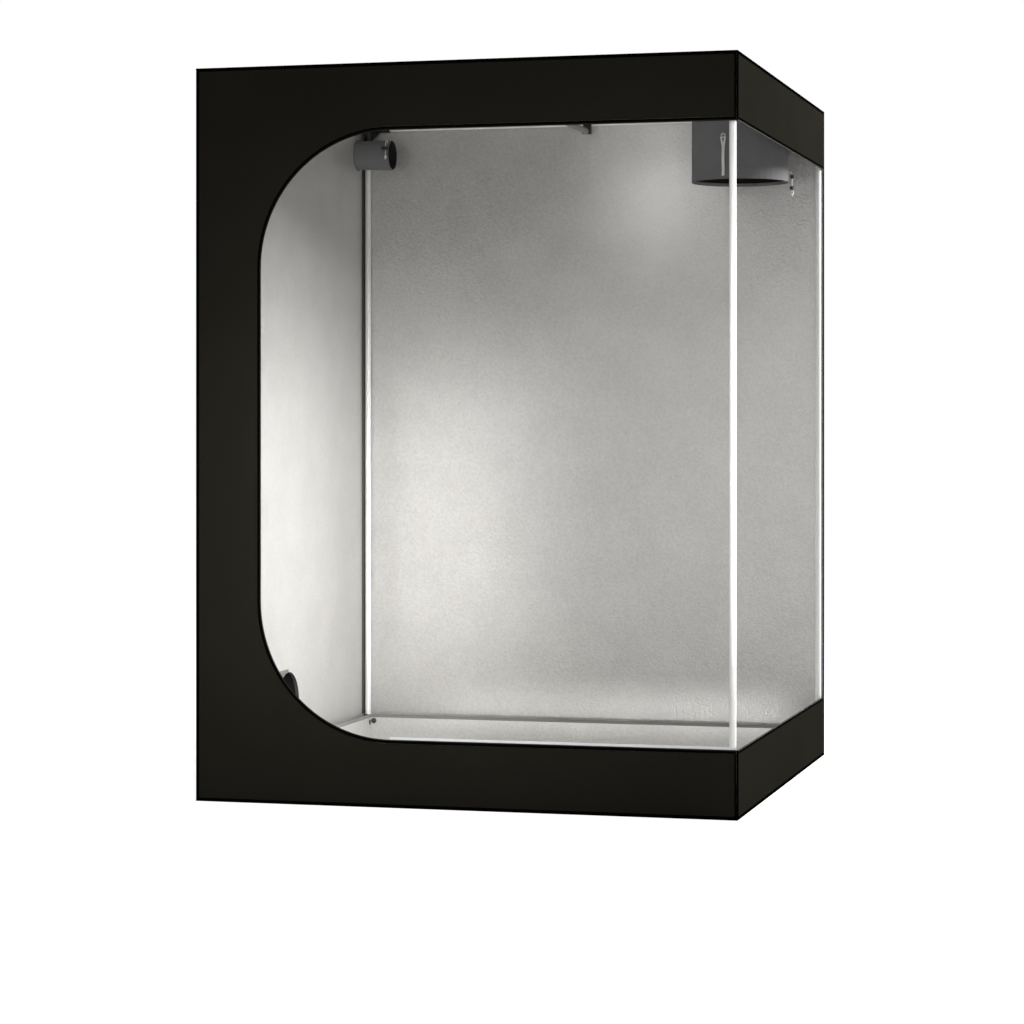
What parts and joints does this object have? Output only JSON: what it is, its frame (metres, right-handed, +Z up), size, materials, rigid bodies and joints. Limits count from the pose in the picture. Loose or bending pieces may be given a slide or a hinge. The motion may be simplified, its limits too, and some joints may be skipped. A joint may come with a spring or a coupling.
{
  "type": "indoor grow tent",
  "caption": "Box-shaped indoor grow tent: a pole frame in a black cover with a silver lining, open at the front and one side, with duct sleeves, a roof bar and a floor tray.",
  "frame": {"origin": "on the ground at the middle of the floor sheet's underside", "axes": "+Z up, -Y towards the front door opening, +X towards the open side"},
  "size_m": [1.6095, 1.5, 2],
  "materials": {
    "black_canvas": "woven, matt",
    "silver_lining": "foil-faced, softly crinkled",
    "grey_sleeve": "thin coated cloth",
    "black_trim": "woven tape",
    "white_tube": "smooth white powder coat",
    "grey_tube": "smooth grey powder coat",
    "dark_plastic": "moulded",
    "grey_binding": "woven binding",
    "white_cord": "braided",
    "white_flap": "smooth coated cloth"
  },
  "bodies": {
    "tent": {"back_cover": "black_canvas", "back_lining": "silver_lining", "base_bar_back": "white_tube", "base_bar_front": "white_tube", "base_bar_left": "white_tube", "base_bar_right": "white_tube", "base_corner_back_left": "dark_plastic", "base_corner_back_right": "dark_plastic", "base_corner_front_left": "dark_plastic", "base_corner_front_right": "dark_plastic", "corner_cord": "white_cord", "corner_duct_sleeve": "grey_sleeve", "floor_cover": "black_canvas", "floor_tray": "silver_lining", "front_cover": "black_canvas", "front_door_roll": "black_canvas", "front_lining": "silver_lining", "front_roll_strap_left": "black_trim", "front_roll_strap_right": "black_trim", "front_zip_tape": "black_trim", "left_cover": "black_canvas", "left_lining": "silver_lining", "pole_back_left": "white_tube", "pole_back_right": "white_tube", "pole_front_left": "white_tube", "pole_front_right": "white_tube", "right_bottom_cover": "black_canvas", "right_bottom_lining": "silver_lining", "right_top_cover": "black_canvas", "right_top_lining": "silver_lining", "roof_cord": "white_cord", "roof_cord_end": "dark_plastic", "roof_cover": "black_canvas", "roof_duct_sleeve": "grey_sleeve", "roof_lining": "silver_lining", "roof_sleeve_tie": "white_cord", "seam_piping": "black_trim", "side_door_roll": "black_canvas", "side_duct_sleeve": "black_canvas", "side_roll_strap_back": "black_trim", "side_roll_strap_front": "black_trim", "side_zip_tape": "black_trim", "sill_flap": "white_flap", "top_bar_back": "white_tube", "top_bar_front": "white_tube", "top_bar_left": "white_tube", "top_bar_right": "white_tube", "top_corner_back_left": "dark_plastic", "top_corner_back_right": "dark_plastic", "top_corner_front_left": "dark_plastic", "top_corner_front_right": "dark_plastic", "tray_binding": "grey_binding"},
    "roof_bar": {"roof_bar": "grey_tube", "roof_bar_hook_front": "dark_plastic", "roof_bar_hook_back": "dark_plastic"},
    "port_flap": {"side_port_flap": "silver_lining"},
    "roof_cord_lock": {"roof_cord_lock": "dark_plastic"},
    "roof_lock_button": {"roof_lock_button": "black_trim"},
    "corner_cord_lock": {"corner_cord_lock": "dark_plastic"},
    "corner_lock_button": {"corner_lock_button": "black_trim"}
  },
  "joints": [
    {"name": "roof_bar_slide", "type": "slide", "parent": "tent", "child": "roof_bar", "axis": [1, 0, 0], "range_m": [-0.64, 0.355]},
    {"name": "port_flap_hinge", "type": "hinge", "parent": "tent", "child": "port_flap", "pos_m": [-0.7455, -0.1095, 0.1955], "axis": [0, 0, 1], "range_deg": [0, 178]},
    {"name": "roof_lock_slide", "type": "slide", "parent": "tent", "child": "roof_cord_lock", "axis": [0, 0, -1], "range_m": [0, 0.018]},
    {"name": "roof_button_press", "type": "slide", "parent": "roof_cord_lock", "child": "roof_lock_button", "axis": [-0.1736, 0.9848, 0], "range_m": [0, 0.004], "stiffness_N_per_m": 200, "springref_m": -0.004},
    {"name": "corner_lock_slide", "type": "slide", "parent": "tent", "child": "corner_cord_lock", "axis": [0, 0, -1], "range_m": [0, 0.014]},
    {"name": "corner_button_press", "type": "slide", "parent": "corner_cord_lock", "child": "corner_lock_button", "axis": [1, 0, 0], "range_m": [0, 0.004], "stiffness_N_per_m": 200, "springref_m": -0.004}
  ]
}
